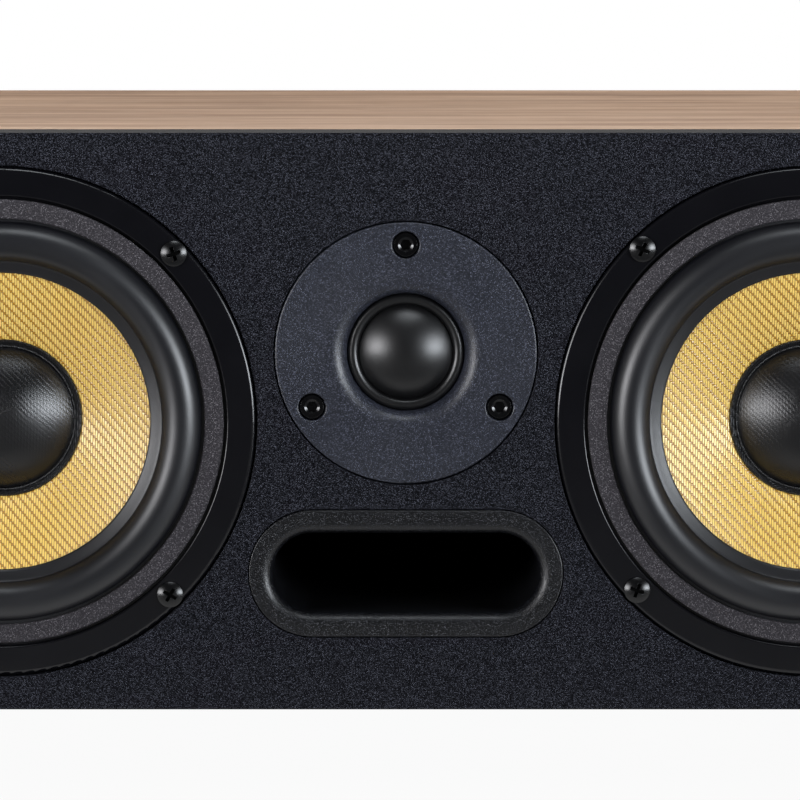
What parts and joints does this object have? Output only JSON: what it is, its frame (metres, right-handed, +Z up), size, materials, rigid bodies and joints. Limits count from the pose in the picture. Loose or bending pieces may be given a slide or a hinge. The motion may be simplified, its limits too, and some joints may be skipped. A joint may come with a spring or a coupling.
{
  "type": "center channel speaker",
  "caption": "Low, wide two-way loudspeaker: woven-cone woofers either side of a soft-dome tweeter and slot port, textured black front, wood-grain cabinet, binding posts at the back.",
  "frame": {"origin": "middle of the cabinet's underside, halfway between the baffle's front and the rear panel's back", "axes": "+X to the right seen from the front, +Y to the back, +Z up"},
  "size_m": [0.4208, 0.2667, 0.1592],
  "materials": {
    "veneer": "satin wood-grain wrap",
    "baffle_paint": "fine textured black paint",
    "rear_board": "plain black board",
    "port_plastic": "fine textured black",
    "wadding": "white fibre",
    "basket_metal": "satin black paint on casting",
    "gasket": "speckled grey fibre",
    "surround": "satin rubber",
    "cone": "woven golden fibre",
    "dust_cap": "coated black cloth",
    "former": "plain",
    "copper": "enamelled wire",
    "spider": "impregnated cloth",
    "motor_steel": "zinc plated",
    "ferrite": "matt ferrite",
    "fibre": "fibre board",
    "black_steel": "black oxide",
    "tweeter_plate": "fine grained dark grey",
    "dome": "coated black cloth",
    "board": "circuit board",
    "film": "film capacitor",
    "ceramic": "ceramic body",
    "brass": "bright plated brass",
    "red_plastic": "red",
    "black_plastic": "black",
    "lead_sleeve": "insulated wire"
  },
  "bodies": {
    "cabinet": {"black_base": "black_plastic", "black_stud": "brass", "bottom_panel": "veneer", "crossover_board": "board", "crossover_capacitors": "film", "crossover_coils": "copper", "crossover_resistors": "ceramic", "crossover_spacers": "black_plastic", "front_baffle": "baffle_paint", "input_leads": "lead_sleeve", "left_basket": "basket_metal", "left_gasket": "gasket", "left_magnet": "ferrite", "left_panel": "veneer", "left_spider": "spider", "left_surround": "surround", "left_tag_strip": "fibre", "left_top_plate": "motor_steel", "left_woofer_leads": "lead_sleeve", "left_yoke": "motor_steel", "port_tube": "port_plastic", "post_nuts": "brass", "rear_panel": "rear_board", "rear_wadding": "wadding", "red_base": "red_plastic", "red_stud": "brass", "right_basket": "basket_metal", "right_gasket": "gasket", "right_magnet": "ferrite", "right_panel": "veneer", "right_spider": "spider", "right_surround": "surround", "right_tag_strip": "fibre", "right_top_plate": "motor_steel", "right_woofer_leads": "lead_sleeve", "right_yoke": "motor_steel", "top_panel": "veneer", "top_wadding": "wadding", "tweeter_coil": "copper", "tweeter_dome": "dome", "tweeter_leads": "lead_sleeve", "tweeter_magnet": "ferrite", "tweeter_plate": "tweeter_plate", "tweeter_screws": "black_steel", "tweeter_tag_strip": "fibre", "tweeter_top_plate": "motor_steel", "tweeter_yoke": "motor_steel", "woofer_screws": "black_steel"},
    "left_cone_assembly": {"left_cone": "cone", "left_dust_cap": "dust_cap", "left_coil_former": "former", "left_voice_coil": "copper"},
    "right_cone_assembly": {"right_cone": "cone", "right_dust_cap": "dust_cap", "right_coil_former": "former", "right_voice_coil": "copper"},
    "red_collar": {"red_washer": "brass"},
    "red_cap": {"red_knob": "red_plastic"},
    "black_collar": {"black_washer": "brass"},
    "black_cap": {"black_knob": "black_plastic"}
  },
  "joints": [
    {"name": "left_cone_stroke", "type": "slide", "parent": "cabinet", "child": "left_cone_assembly", "axis": [0, -1, 0], "range_m": [-0.004, 0.004], "stiffness_N_per_m": 1200, "deforming": ["left_surround", "left_spider"]},
    {"name": "right_cone_stroke", "type": "slide", "parent": "cabinet", "child": "right_cone_assembly", "axis": [0, -1, 0], "range_m": [-0.004, 0.004], "stiffness_N_per_m": 1200, "deforming": ["right_surround", "right_spider"]},
    {"name": "red_collar_travel", "type": "slide", "parent": "cabinet", "child": "red_collar", "axis": [0, 1, 0], "range_m": [0, 0.004]},
    {"name": "red_cap_turn", "type": "hinge", "parent": "red_collar", "child": "red_cap", "pos_m": [-0.00953, 0.135, 0.0796], "axis": [0, 1, 0], "range_deg": [0, 1440]},
    {"name": "black_collar_travel", "type": "slide", "parent": "cabinet", "child": "black_collar", "axis": [0, 1, 0], "range_m": [0, 0.004]},
    {"name": "black_cap_turn", "type": "hinge", "parent": "black_collar", "child": "black_cap", "pos_m": [0.00953, 0.135, 0.0796], "axis": [0, 1, 0], "range_deg": [0, 1440]}
  ],
  "couplings": [
    {"joint": "red_cap_turn", "follows": "red_collar_travel", "rad_per_m": 6283.2},
    {"joint": "black_cap_turn", "follows": "black_collar_travel", "rad_per_m": 6283.2}
  ]
}
